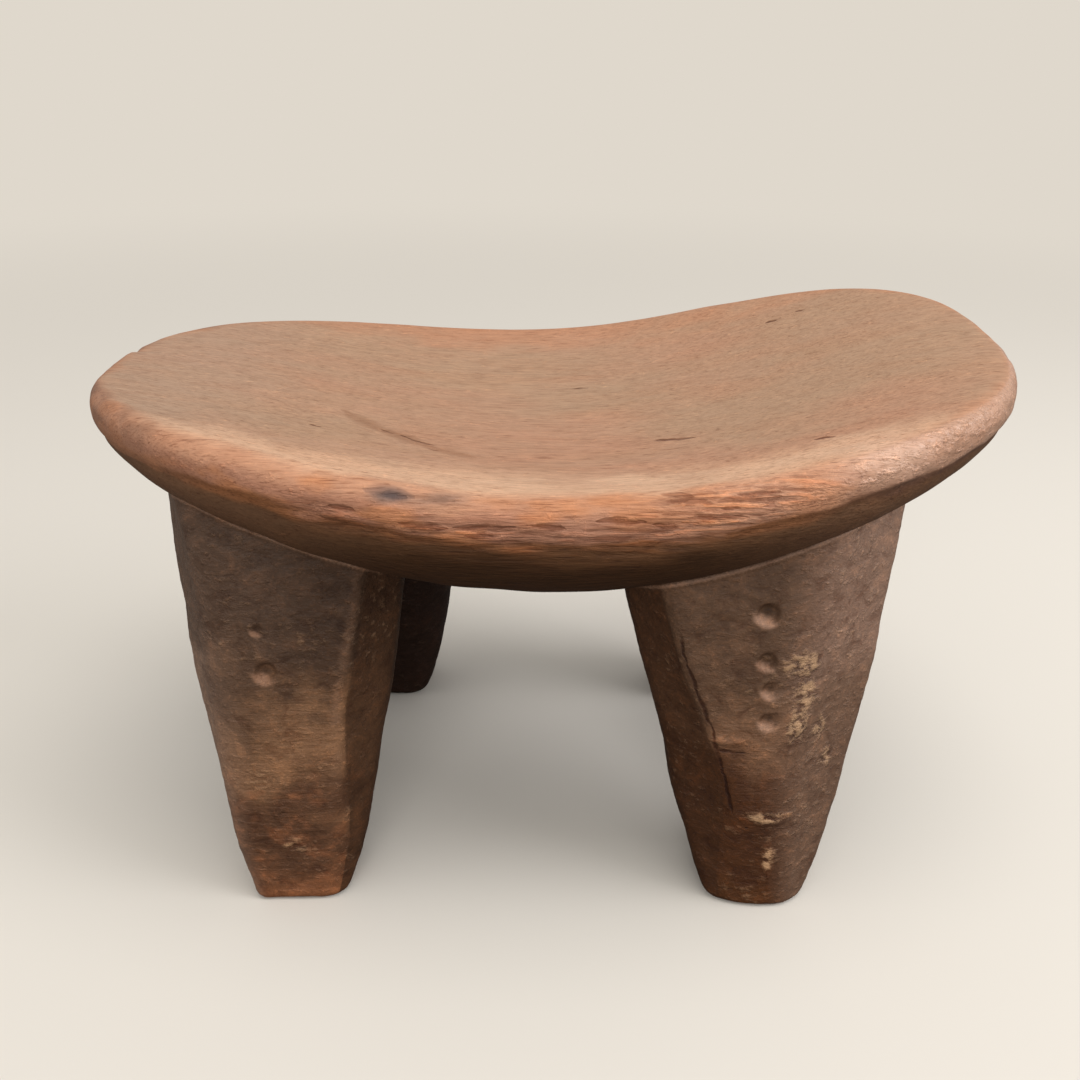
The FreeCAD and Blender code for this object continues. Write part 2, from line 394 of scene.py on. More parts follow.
def seat_mesh():
    """Vertices, quads and ring labels of the seat: dish patch, rim rings and underside patch."""
    rings = seat_rings()[:, 1:-1].transpose(1, 0, 2)
    count, total = rings.shape[:2]
    top, bottom = patch(DISH_MARGIN), patch(HAUNCH_MARGIN)
    top = np.column_stack([top, dish_level(*top.T)])
    bottom = np.column_stack([bottom, under_level(*bottom.T)])
    bottom_start = len(top) + count * total
    border = border_indices()
    between_patches = len(top) + np.arange(count * total).reshape(count, total)
    loops = [border, *between_patches, bottom_start + border]
    quads = [grid_faces(0, False), grid_faces(bottom_start, True)]
    for upper, lower in zip(loops, loops[1:]):
        quads.append(np.column_stack([upper, lower, np.roll(lower, -1), np.roll(upper, -1)]))
    sizes = [len(top)] + [total] * count + [len(bottom)]
    vertices = np.vstack([top, rings.reshape(-1, 3), bottom])
    return vertices, np.vstack(quads), np.repeat(np.arange(count + 2.0), sizes)


# ----- Mesh helpers -----

def vertex_normals(vertices, quads):
    """Area-weighted vertex normals of a quad mesh."""
    a, b, c, d = vertices[quads.T]
    face = np.cross(c - a, d - b)
    normals = np.zeros_like(vertices)
    for i in range(4):
        np.add.at(normals, quads[:, i], face)
    return normals / (np.linalg.norm(normals, axis=1)[:, None] + 1e-12)


def add_object(name, data):
    """Object in the scene that shows a mesh, a lamp or a camera."""
    obj = bpy.data.objects.new(name, data)
    bpy.context.scene.collection.objects.link(obj)
    return obj


def add_piece(name, node_name, material, vertices, faces, colours, masks):
    """Smooth-shaded piece in place of its CAD node, with its colours and masks on its points."""
    mesh = bpy.data.meshes.new(name)
    mesh.from_pydata((vertices / 1000).tolist(), [], faces, shade_flat=False)
    paint = mesh.attributes.new("paint", "FLOAT_COLOR", "POINT")
    rgba = np.column_stack([np.clip(colours, 0, 1), np.ones(len(colours))])
    paint.data.foreach_set("color", rgba.astype(np.float32).ravel())
    for mask, values in masks.items():
        layer = mesh.attributes.new(mask, "FLOAT", "POINT")
        layer.data.foreach_set("value", np.clip(values, 0, 1).astype(np.float32))
    mesh.materials.append(material)
    mesh.validate()
    piece = add_object(name, mesh)
    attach(piece, "root")
    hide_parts(node_name)


# ----- Wood material -----

def new_nodes(store, name):
    """New material or world and its emptied node tree."""
    owner = store.new(name)
    owner.use_nodes = True
    owner.node_tree.nodes.clear()
    return owner, owner.node_tree


def node(tree, kind, inputs=None, **settings):
    """Adds a shader node; inputs are values or sockets, by name or number."""
    made = tree.nodes.new("ShaderNode" + kind)
    for key, value in settings.items():
        setattr(made, key, value)
    for key, value in (inputs or {}).items():
        if isinstance(value, bpy.types.NodeSocket):
            tree.links.new(value, made.inputs[key])
        else:
            made.inputs[key].default_value = value
    return made


def mix(tree, factor, first, second, mode="MIX"):
    """Colour mix of two sockets or colours."""
    inputs = {0: factor, 6: first, 7: second}
    return node(tree, "Mix", inputs, data_type="RGBA", blend_type=mode).outputs[2]


def calc(tree, operation, first, second=0.0, third=0.0):
    """One arithmetic step."""
    return node(tree, "Math", {0: first, 1: second, 2: third}, operation=operation).outputs[0]


def scaled(tree, first, second):
    """Product of two values or sockets."""
    return calc(tree, "MULTIPLY", first, second)


def remap(tree, value, low, high, to_low=0.0, to_high=1.0):
    """Clamped linear remapping of a value socket."""
    share = calc(tree, "MULTIPLY_ADD", value, 1 / (high - low), -low / (high - low))
    share = calc(tree, "MAXIMUM", calc(tree, "MINIMUM", share, 1.0), 0.0)
    if (to_low, to_high) == (0.0, 1.0):
        return share
    return calc(tree, "MULTIPLY_ADD", share, to_high - to_low, to_low)


def vector(tree, operation, first, second, output=0):
    """One step of vector arithmetic."""
    return node(tree, "VectorMath", {0: first, 1: second}, operation=operation).outputs[output]


def vector_times(tree, direction, scale):
    """Vector times a number or a value socket."""
    return node(tree, "VectorMath", {0: direction, "Scale": scale}, operation="SCALE").outputs[0]


def streaks(tree, place, along, across, detail=4.0, distortion=0.0, rough=0.6):
    """Noise stretched along the grain, which runs in x; sizes in millimetres."""
    scale = (1000 / along, 1000 / across, 1000 / across)
    inputs = {
        "Vector": vector(tree, "MULTIPLY", place, scale), "Scale": 1.0, "Detail": detail,
        "Roughness": rough, "Distortion": distortion,
    }
    return node(tree, "TexNoise", inputs, noise_dimensions="3D").outputs[0]


def painted(tree, name, output="Fac"):
    """Value or colour stored on the mesh by its code."""
    return node(tree, "Attribute", attribute_name=name, attribute_type="GEOMETRY").outputs[output]


def stroke(tree, place, start, end, width):
    """1 along a thin tapering line between two points given in millimetres, 0 away from it."""
    start, end = Vector(start) / 1000, Vector(end) / 1000
    axis = end - start
    offset = vector(tree, "SUBTRACT", place, start)
    along = vector(tree, "DOT_PRODUCT", offset, axis.normalized(), "Value")
    share = remap(tree, along, 0.0, axis.length)
    foot = vector_times(tree, axis, share)
    gap = vector(tree, "DISTANCE", offset, foot, "Value")
    taper = scaled(tree, share, calc(tree, "SUBTRACT", 1.0, share))
    limit = scaled(tree, calc(tree, "ADD", taper, 0.04), 4 * width / 1000)
    return remap(tree, calc(tree, "DIVIDE", gap, limit), 1.0, 0.35)


# Colour factors of the wood's markings
DARK = (0.58, 0.47, 0.40)
LIGHT = (1.22, 1.2, 1.17)
WARM = (1.08, 0.92, 0.82)
BRIGHT = (1.6, 1.5, 1.4)
DASH = (0.45, 0.33, 0.27)
# Pale specks on the rubbed places: a painted highlight
PAINTED_HIGHLIGHT = (1.35, 1.38, 1.4)
TORN_GROOVE = (0.46, 0.34, 0.27)
TORN_LIP = (1.35, 1.16, 1.0)
# Colour of bare wood under a chip
DUST = (0.50, 0.31, 0.175, 1)
BUMP_DISTANCE = 0.0007
STROKE_WANDER = 0.004


def tint(tree, colour, cover, shade):
    """Multiplies a colour by a shade where the cover is 1."""
    return mix(tree, cover, colour, (*shade, 1), "MULTIPLY")


def grain_layers(tree, place, stretch):
    """Noise layers of the wood; `stretch` lengthens those that follow the grain."""
    return {
        "broad": streaks(tree, place, 70 * stretch, 16, 3.0, 0.6),
        "medium": streaks(tree, place, 22 * stretch, 1.9, 4.0, 0.3),
        "fine": streaks(tree, place, 8 * stretch, 0.6, 3.0, 0.15),
        "dashes": streaks(tree, place, 15 * stretch, 0.85, 3.0, 0.2),
        "dots": streaks(tree, place, 1.5, 1.1, 3.0),
        "chips": streaks(tree, place, 4.6, 2.9, 4.0, 0.15),
        "cloud": streaks(tree, place, 10, 8, 6.0, 0.5, 0.68),
        "torn": streaks(tree, place, 21, 2.0, 4.0, 0.5),
    }


def add_grain(tree, colour, layer, grain):
    """Colour with its streaks, clouds, pores, dashes and flecks, and the dashes' cover."""
    streak, pore, mottle = 0.5 * grain["streak"], grain["pore"], grain["mottle"]
    for name, low, high, amount, shade in (
        ("broad", 0.4, 0.66, streak, WARM),
        ("medium", 0.5, 0.3, streak, LIGHT),
        ("medium", 0.52, 0.72, streak, DARK),
        ("cloud", 0.48, 0.34, mottle, DARK),
        ("cloud", 0.52, 0.68, mottle, BRIGHT),
        ("fine", 0.53, 0.7, pore, DARK),
        ("fine", 0.46, 0.28, pore, LIGHT),
    ):
        colour = tint(tree, colour, remap(tree, layer[name], low, high, 0.0, amount), shade)
    dash = remap(tree, layer["dashes"], 0.6, 0.72)
    dash = scaled(tree, dash, remap(tree, layer["broad"], 0.38, 0.56))
    colour = tint(tree, colour, scaled(tree, dash, pore), DASH)
    flecks = remap(tree, layer["dots"], 0.54, 0.7, 0.0, grain["speckle"])
    return tint(tree, colour, flecks, BRIGHT), dash


def add_wear(tree, colour, layer, worn, shine, tear):
    """Colour with chips, rubbed places with a painted highlight, and torn fibres, and the covers of
    these.
    """
    chips, torn = layer["chips"], layer["torn"]
    chip = remap(tree, calc(tree, "MULTIPLY_ADD", worn, 0.2, chips), 0.6, 0.76)
    colour = tint(tree, colour, scaled(tree, chip, 0.5), BRIGHT)
    colour = mix(tree, scaled(tree, chip, scaled(tree, worn, 0.75)), colour, DUST)
    hollow = scaled(tree, remap(tree, chips, 0.47, 0.36), worn)
    colour = tint(tree, colour, scaled(tree, hollow, 0.6), DARK)
    # Rubbed places: small real bumps, with pale specks over them that are a painted highlight
    rubbed_highlight = scaled(tree, remap(tree, chips, 0.5, 0.66), shine)
    colour = tint(tree, colour, scaled(tree, rubbed_highlight, 0.55), PAINTED_HIGHLIGHT)
    groove = scaled(tree, remap(tree, torn, 0.52, 0.61), tear)
    lip = scaled(tree, remap(tree, torn, 0.49, 0.38), tear)
    colour = tint(tree, colour, scaled(tree, groove, 0.8), TORN_GROOVE)
    colour = tint(tree, colour, scaled(tree, lip, 0.8), TORN_LIP)
    return colour, {"chip": chip, "hollow": hollow, "rubbed_highlight": rubbed_highlight, "groove": groove, "lip": lip}


def wood_height(tree, layer, grain):
    """Height of the surface: the sum of its layers, each times its share."""
    height = scaled(tree, layer["medium"], 0.6 * grain["streak"])
    for name, amount in (
        ("fine", 0.55 * grain["pore"]), ("dots", 0.5 * grain["speckle"]),
        ("cloud", 2.6 * grain["mottle"]), ("chip", 0.8), ("rubbed_highlight", 1.1), ("dash", -0.4),
        ("hollow", -1.0), ("groove", -1.8), ("lip", 1.8),
    ):
        height = calc(tree, "ADD", height, scaled(tree, layer[name], amount))
    return height


def add_strokes(tree, place, colour, height, strokes):
    """Colour and height with the single marks, whose lines wander a little off straight."""
    wander = node(tree, "TexNoise", {"Vector": place, "Scale": 140.0, "Detail": 3.0}).outputs["Color"]
    wander = vector_times(tree, vector(tree, "SUBTRACT", wander, (0.5, 0.5, 0.5)), STROKE_WANDER)
    bent = vector(tree, "ADD", place, wander)
    for shade, depth, lines in strokes:
        cover = 0.0
        for line in lines:
            cover = calc(tree, "MAXIMUM", cover, stroke(tree, bent, *line))
        colour = tint(tree, colour, cover, shade)
        height = calc(tree, "SUBTRACT", height, scaled(tree, cover, depth))
    return colour, height


def wood(name, grain, strokes):
    """Aged wood: painted base colour with grain, wear, single marks and matching relief."""
    material, tree = new_nodes(bpy.data.materials, name)
    place = node(tree, "TexCoord").outputs["Object"]
    base = painted(tree, "paint", "Color")
    shine, tear, worn = (painted(tree, mask) for mask in ("shine", "tear", "worn"))
    layer = grain_layers(tree, place, grain["stretch"])
    colour, layer["dash"] = add_grain(tree, base, layer, grain)
    colour, covers = add_wear(tree, colour, layer, worn, shine, tear)
    layer.update(covers)
    height = wood_height(tree, layer, grain)
    colour, height = add_strokes(tree, place, colour, height, strokes)
    inputs = {"Height": height, "Strength": grain["relief"], "Distance": BUMP_DISTANCE}
    surface = node(tree, "Bump", inputs).outputs[0]
    rough = remap(tree, layer["medium"], 0.3, 0.7, -0.06, 0.08)
    rough = calc(tree, "ADD", rough, grain["roughness"])
    rough = calc(tree, "SUBTRACT", rough, scaled(tree, shine, 0.33))
    inputs = {
        "Base Color": colour, "Roughness": rough, "Normal": surface,
        "Specular IOR Level": calc(tree, "MULTIPLY_ADD", shine, 0.35, 0.2),
    }
    shader = node(tree, "BsdfPrincipled", inputs).outputs[0]
    node(tree, "OutputMaterial", {"Surface": shader})
    return material


# ----- Seat -----

# Ring labels where the rim begins, is widest and ends
FIRST_RIM = DISH_RINGS + 1
WIDEST_RIM = FIRST_RIM + UPPER_RINGS
LOWER_EDGE = WIDEST_RIM + LOWER_RINGS


def seat_zones(points, rings):
    """Shares of the seat's surface regions."""
    x, y, _ = points.T
    front = ease(y, -55, -95)
    rim = band(rings, FIRST_RIM + 1, LOWER_EDGE, 2)
    return {
        "rim": rim,
        "front": front,
        "gouged": rim * front * band(x, 35, 96, 12) * band(rings, FIRST_RIM + 1, WIDEST_RIM + 4, 2),
        "burnished": rim * ease(x, 85, 120) * ease(y, 15, -25),
        "torn": band(rings, WIDEST_RIM + 1, LOWER_EDGE + 1, 2.5) * front * band(x, -95, 60, 30),
        "dish": ease(rings, FIRST_RIM, FIRST_RIM - 4),
        "under": ease(rings, LOWER_EDGE, LOWER_EDGE + 3),
    }


def seat_relief(points, rings):
    """How far each point of the seat stands out from the plain form, in millimetres."""
    zone = seat_zones(points, rings)
    relief = -0.9 * ease(noise(points, (20, 8, 2.4), 15), 0.1, 0.7) * zone["gouged"]
    for region, height, size, seed in (
        ("dish", 0.4, (70, 45, 40), 11), ("dish", 0.1, (30, 7, 7), 12),
        ("rim", 0.6, (34, 34, 18), 13), ("rim", 0.12, (12, 8, 5), 16),
        ("under", 0.9, (30, 30, 30), 14), ("burnished", 0.4, (7, 6, 5), 17),
        ("torn", 0.9, (13, 8, 3.2), 18),
    ):
        relief += height * noise(points, size, seed) * zone[region]
    relief -= 1.3 * bump(points, (-187, 17, 210), (12, 7, 12))
    relief -= 0.8 * bump(points, (-57, -111, 197), (8, 8, 4))
    return relief


# Small pale chips along the lower edge of the bowl, beside the front legs
CHIPS = ((-122, -88, 163), (-88, -88, 158), (110, -85, 171))


def dish_paint(points, small):
    """Dusty top, a little greyer at its ends, with a painted highlight along its front."""
    x, y, _ = points.T
    blotch = noise(points, (60, 28, 30), 21, 3)
    back = ease(y + 12 * small, 70, 105) * band(x, -150, 140, 30)
    return paint_over(
        np.tile(tone(171, 138, 112), (len(points), 1)),
        (tone(178, 135, 109), 0.3 + 0.6 * blotch),
        (tone(170, 142, 121), 0.55 * ease(x, -90, -160)),
        (tone(173, 139, 113), 0.45 * ease(x + 0.5 * y, 95, 160)),
        (tone(182, 134, 104), 0.8 * back),
        # Painted highlight where the front of the dish slopes up to the crest
        (tone(206, 168, 139), ease(y + 8 * small, -66, -98)),
    )


def rim_shares(points, rings, front, small):
    """Shares of the rim, its reddish side, its dark lower edge, and the underside."""
    ragged = rings + 3 * noise(points, (30, 12, 10), 22, 3)
    edge = rings - 1.2 * ease(points[:, 0], 90, 150) * front
    rim = ease(ragged, FIRST_RIM - 4.5, FIRST_RIM + 5.5)
    red = ease(ragged + 2 * small, WIDEST_RIM - 9, WIDEST_RIM - 1)
    low = ease(edge + 4 * noise(points, (24, 10, 6), 23, 3), LOWER_EDGE - 8, LOWER_EDGE - 2)
    under = ease(edge + 2 * noise(points, (20, 9, 6), 24), LOWER_EDGE - 1.5, LOWER_EDGE + 1.5)
    return rim, red, low, under


def worn_end_paint(colours, points, worn_end):
    """Darker, patchy rim at the seat's left end."""
    patchy = noise(points, (16, 12, 9), 27, 3)
    return paint_over(
        colours,
        (tone(146, 108, 86), 0.6 * worn_end * ease(points[:, 1], 60, 0)),
        (tone(122, 88, 69), 0.7 * worn_end * ease(patchy, -0.1, 0.5)),
        (tone(156, 109, 80), 0.7 * worn_end * ease(patchy, 0.0, -0.6)),
    )


def front_paint(colours, points, burnish, corner, small):
    """Burnished right of the front rim, a painted highlight beside it, and the stain of the knot."""
    stain = bump(points, (-58, -111, 198), (11, 9, 4))
    stain += 0.5 * bump(points, (-41, -111, 196.5), (17, 9, 3))
    return paint_over(
        colours,
        (tone(186, 147, 123), 0.85 * burnish),
        # Painted highlight on the right of the front rim
        (tone(224, 186, 163), 0.45 * bump(points, (122, -96, 209), (32, 24, 13))),
        (tone(204, 156, 128), 0.6 * corner),
        (tone(108, 94, 88), 1.6 * stain * (0.7 + 0.5 * small)),
    )


def seat_paint(points, rings):
    """Base colours and surface masks of the seat."""
    x, y, _ = points.T
    zone = seat_zones(points, rings)
    small = noise(points, (22, 9, 9), 25, 3)
    rim, red, low, under = rim_shares(points, rings, zone["front"], small)
    # Painted shade that deepens further in under the bowl
    under_shade = under * ease(rings + 2 * small, LOWER_EDGE, LOWER_EDGE + 7)
    burnish = zone["burnished"] * (1 - low)
    front_rim = rim * zone["front"]
    colours = paint_over(
        dish_paint(points, small),
        (tone(186, 137, 107), rim),
        (tone(173, 124, 99), red * rim),
        (tone(190, 128, 86), rim * ease(small, 0.05, 0.7) * 0.7),
        # Darker lower edge and underside: partly the wood's dark patina, partly painted shade
        (tone(128, 84, 52), low * (0.45 + 0.45 * zone["front"])),
        (tone(98, 70, 54), low * ease(x, 70, 125) * ease(y, 40, -20)),
        (tone(96, 65, 41), under),
        (tone(64, 40, 21), under_shade),
        (tone(104, 75, 54), under * ease(np.abs(x), 45, 120)),
    )
    colours = worn_end_paint(colours, points, ease(x, -120, -170) * rim * (1 - under))
    corner = ease(x, 120, 60) * front_rim * (1 - low) * ease(x, 20, 70)
    colours = front_paint(colours, points, burnish, corner, small)
    tear = 0.6 * zone["gouged"] + 0.6 * zone["torn"]
    tear += 0.2 * front_rim * (1 - zone["burnished"]) * ease(x, -110, -40)
    return colours, {
        "shine": 0.25 * rim * (1 - low) + 0.9 * burnish,
        "tear": tear,
        "worn": sum(bump(points, place, (4, 6, 3)) for place in CHIPS),
    }


# Colour factors of the single marks
CRACK = (0.38, 0.27, 0.22)
SMUDGE = (0.8, 0.74, 0.69)
PALE = (1.3, 1.25, 1.2)
KNOT = (0.68, 0.69, 0.75)
GROOVE = (0.6, 0.5, 0.44)
RAISED = (1.25, 1.15, 1.0)
LIP = (1.6, 1.5, 1.35)
FAINT = (1.15, 1.13, 1.12)
# Marks on the seat: colour factor, depth, then the start, end and half-width of each line
SEAT_STROKES = (
    (SMUDGE, 0.3, (
        ((-90, -24, 199), (-66, -46, 197), 5.0), ((-74, -40, 197), (-44, -58, 196), 5.0),
        ((-56, -54, 195), (-28, -64, 195), 4.0), ((-52, -111, 198), (-33, -111, 196.5), 1.3),
    )),
    (CRACK, 1.0, (
        ((-78, -38, 197), (-56, -50, 196), 0.8), ((-58, -50, 196), (-46, -53, 195), 0.7),
        ((-52, -58, 195), (-34, -62, 195), 0.6), ((37, -43, 195), (58, -47, 198), 1.7),
        ((97, -72, 208), (106, -75, 209), 1.0), ((7, 28, 194), (19, 28, 194), 0.8),
        ((-99, -50, 202), (-92, -52, 202), 0.9), ((114, 71, 222), (127, 70, 223), 0.9),
        ((101, 67, 216), (109, 67, 218), 0.9),
    )),
    (KNOT, 0.8, (((-67, -110, 199.5), (-49, -111, 197), 3.4),)),
    (KNOT, 1.2, (((-61, -111, 198.5), (-50, -111, 196), 1.5),)),
    (GROOVE, 1.3, (
        ((35, -106, 198), (49, -108, 197.7), 1.5), ((37, -109, 196.6), (58, -110, 196.3), 1.6),
        ((54, -109.5, 197.2), (80, -108.5, 198.3), 1.6), ((63, -108.4, 199), (79, -108, 200), 1.4),
        ((46, -112, 191.4), (68, -111, 191.2), 1.6), ((51, -111, 193.7), (66, -110.7, 194.6), 1.4),
        ((34, -112.5, 188.3), (46, -112, 187.5), 1.5), ((-80, -111, 193.7), (-70, -112.2, 192.8), 1.4),
        ((-56, -114, 188.8), (-37, -114.2, 187), 2.0), ((-36, -114, 187.1), (-13, -113.6, 187.3), 1.6),
        ((-32, -114, 183.8), (-18, -113.5, 184), 1.8), ((-10, -113.6, 188.2), (5, -113.4, 187.4), 1.6),
        ((14, -112.7, 190.5), (32, -112.6, 189), 1.5),
    )),
    (RAISED, -0.8, (
        ((40, -108, 198.9), (60, -108.6, 198.9), 1.4), ((50, -110, 195.3), (76, -110, 196), 1.5),
        ((44, -112, 189.8), (66, -111.4, 189.6), 1.5), ((-36, -114, 185.2), (-20, -113.7, 185.6), 1.5),
    )),
    (FAINT, -0.3, (((10, -113, 191), (10, -113, 180), 0.6),)),
)
SEAT_GRAIN = {
    "stretch": 1.0, "streak": 0.6, "pore": 0.8, "speckle": 0.12, "mottle": 0.12,
    "roughness": 0.62, "relief": 0.55,
}


def build_seat():
    """Seat, in place of its CAD node."""
    vertices, quads, rings = seat_mesh()
    normals = vertex_normals(vertices, quads)
    vertices = vertices + normals * seat_relief(vertices, rings)[:, None]
    colours, masks = seat_paint(vertices, rings)
    material = wood("seat_wood", SEAT_GRAIN, SEAT_STROKES)
    faces = quads.tolist()
    add_piece("carved_seat", "seat", material, vertices, faces, colours, masks)


# ----- Legs -----

# Rounding of the eight long edges, from the outer front one towards the inner side and the back
EDGE_ROUND = (12, 11, 3.5, 6, 9, 9, 9, 11)
FOOT_ROUND = (6, 6, 9, 5, 5, 5, 5, 6)
# Columns on the flats after each edge
FLAT_COLUMNS = (26, 84, 26, 22, 16, 26, 18, 22)
EDGE_COLUMNS = 8


def leg_corners(edges, z, front, shift, variation):
    """Eight corners of the leg's section at heights z; front is -1 or 1 along y."""
    outer, soft, crisp, inner = (curve(stations, z) for stations in edges.values())
    side = np.sign(outer)
    face = curve(FRONT_FACE, z)
    back = face - curve(LEG_THICK, z)
    outer_cut, inner_cut = curve(OUTER_CHAMFER, z), curve(INNER_CHAMFER, z)
    inward = 0.45 * inner_cut + 4
    corners = [
        (outer, face - outer_cut),
        (soft, face),
        (crisp, face - 1.5),
        (inner, face - inner_cut),
        (inner + variation * side, back + 0.8 * inner_cut),
        (inner + side * inward, back),
        (outer - side * inward, back + variation),
        (outer, back + 0.8 * inner_cut),
    ]
    return np.stack([np.stack([x + shift, front * y], axis=1) for x, y in corners], axis=1)


def rounded_section(corners, heights):
    """Section outlines with rounded edges: (levels, columns, 2) and each column's edge number."""
    count = corners.shape[1]
    upper, foot = np.array(EDGE_ROUND, float), np.array(FOOT_ROUND, float)
    rounding = foot + (upper - foot) * ease(heights, 10, 75)[:, None]
    following = np.roll(corners, -1, axis=1) - corners
    length = np.linalg.norm(following, axis=2)
    ahead = following / length[..., None]
    behind = -np.roll(ahead, 1, axis=1)
    room = 0.46 * np.minimum(length, np.roll(length, 1, axis=1))
    cut = np.minimum(rounding, room)[..., None]
    start, end = corners + behind * cut, corners + ahead * cut
    columns, labels = [], []
    for k in range(count):
        for t in np.linspace(0, 1, EDGE_COLUMNS, endpoint=False):
            sides = start[:, k] * (1 - t) ** 2 + end[:, k] * t**2
            columns.append(sides + 2 * t * (1 - t) * corners[:, k])
            labels.append(k + 0.2 * (t - 0.5))
        after = (k + 1) % count
        for t in np.linspace(0, 1, FLAT_COLUMNS[k], endpoint=False):
            columns.append(end[:, k] * (1 - t) + start[:, after] * t)
            labels.append(k + 0.1 + 0.8 * t)
    return np.stack(columns, axis=1), np.array(labels)


def leg_sections(edges, front, shift, variation):
    """Levels, section outlines at each, drawn in where the sole is rounded, and edge labels."""
    heights = np.linspace(0, LEG_TOP, round(LEG_TOP / LEVEL_STEP) + 1)
    corners = leg_corners(edges, heights, front, shift, variation)
    table, labels = rounded_section(corners, heights)
    middle = table.mean(axis=1, keepdims=True)
    turn = np.clip(SOLE_ROUND - heights, 0, SOLE_ROUND)
    pull = SOLE_ROUND - np.sqrt(SOLE_ROUND**2 - turn**2)
    reach = np.linalg.norm(table - middle, axis=2, keepdims=True)
    table = middle + (table - middle) * (1 - pull[:, None, None] / reach)
    return heights, table, labels


def leg_side(heights, table):
    """Rows of points up the leg's side, and the height where each column meets the seat."""
    above = heights[:, None] > under_level(table[..., 0], table[..., 1])
    meets = heights[np.argmax(above, axis=0)]
    top = np.minimum(meets + LEG_BURY, LEG_TOP - 2)
    foot = SOLE_ROUND * (1 - np.cos(np.linspace(0, math.pi / 2, SOLE_ROWS)))
    share = np.linspace(0, 1, LEG_ROWS + 1)[1:, None]
    sole_rows = np.repeat(foot[:, None], table.shape[1], axis=1)
    z = np.vstack([sole_rows, foot[-1] + (top - foot[-1]) * share])
    place = np.clip(z / LEVEL_STEP, 0, len(heights) - 1.001)
    low = place.astype(int)
    part = (place - low)[..., None]
    column = np.arange(table.shape[1])
    xy = table[low, column] * (1 - part) + table[low + 1, column] * part
    return np.concatenate([xy, z[..., None]], axis=2), meets


def buried(flat):
    """Plan points set just inside the seat's underside."""
    return np.column_stack([flat, under_level(*flat.T) + LEG_BURY])


def leg_ends(side):
    """Rings that close the sole and the buried top, and the middle point of each."""
    sole_middle = side[0].mean(axis=0)
    top_edge = side[-1, :, :2]
    top_middle = top_edge.mean(axis=0)
    sole = [sole_middle + (side[0] - sole_middle) * share for share in SOLE_RINGS]
    cap = [buried(top_middle + (top_edge - top_middle) * share) for share in CAP_RINGS]
    return sole, cap, np.vstack([sole_middle, buried(top_middle[None, :])])


def leg_mesh(edges, front, shift, variation):
    """Vertices, quads and end triangles of one leg, with edge labels and depths below the seat."""
    heights, table, labels = leg_sections(edges, front, shift, variation)
    side, meets = leg_side(heights, table)
    sole, cap, middles = leg_ends(side)
    rings = np.concatenate([sole, side, cap])
    count, columns = rings.shape[:2]
    vertices = np.vstack([rings.reshape(-1, 3), middles])
    here = np.arange(columns)
    after = (here + 1) % columns
    base = np.arange(count - 1)[:, None] * columns
    corners = [base + here, base + after, base + columns + after, base + columns + here]
    quads = np.stack(corners, axis=2).reshape(-1, 4)
    last = (count - 1) * columns
    sole_point, top_point = np.full((2, columns), [[count * columns], [count * columns + 1]])
    triangles = np.vstack([
        np.column_stack([sole_point, after, here]),
        np.column_stack([top_point, last + here, last + after]),
    ])
    # The two middle points lie on no edge, one far below the seat and one inside it
    labels = np.concatenate([np.tile(labels, count), [0, 0]])
    depth = np.concatenate([(meets - rings[..., 2]).ravel(), [99, -9]])
    return vertices, quads, triangles, labels, depth


def ridge_line(points, seed):
    """Edge label along the crack beside the ridge, which wanders with height."""
    return 2.13 + 0.04 * noise(points, (60, 60, 14), seed + 4)


def dimple_gap(points, centre, radius):
    """Distance from a dimple's centre, as a share of its radius."""
    return np.linalg.norm(points - centre, axis=1) / radius


def leg_relief(points, labels, depth, worn, look, seed):
    """How far each point of a leg stands out from its plain faceted form."""
    z = points[:, 2]
    relief = 0.5 * noise(points, (24, 24, 34), seed)
    relief += 0.25 * noise(points, (9, 9, 8), seed + 1)
    relief += 0.11 * noise(points, (3.2, 3.2, 2.6), seed + 2)
    relief += 0.7 * band(depth, 0, 1.8, 1.0)
    relief += 0.8 * worn * noise(points, (5, 5, 4), seed + 3)
    crack = ridge_line(points, seed)
    relief -= 0.7 * band(labels, crack, crack, 0.05) * band(z, 45, 140, 20)
    for ledge in look["ledges"]:
        relief += 1.2 * bump(points, *ledge)
    for centre, radius, sink in look["dimples"]:
        gap = dimple_gap(points, centre, radius) * (1 + 0.12 * noise(points, (4, 4, 4), seed + 6))
        relief -= sink * ease(gap, 1.0, 0.5)
    return relief * ease(z, -2, 3)


def dimple_paint(colours, points, look):
    """Painted shade in the upper half and a painted highlight on the lower lip of each dimple."""
    x, _, z = points.T
    for centre, radius, _ in look["dimples"]:
        gap = dimple_gap(points, centre, radius)
        lean = (0.4 * (x - centre[0]) + 0.9 * (z - centre[2])) / radius
        # Painted shade on the upper wall, and a painted highlight on the lower wall that light from
        # above would reach
        shadow = ease(gap, 0.92, 0.62) * ease(lean, -0.7, 0.1)
        lip = band(gap, 0.6, 1.12, 0.2) * ease(lean, -0.2, -0.7)
        layers = (look["inner"] * 0.28, 0.9 * shadow), (look["edge"] * 1.25, 0.85 * lip)
        colours = paint_over(colours, *layers)
    return colours


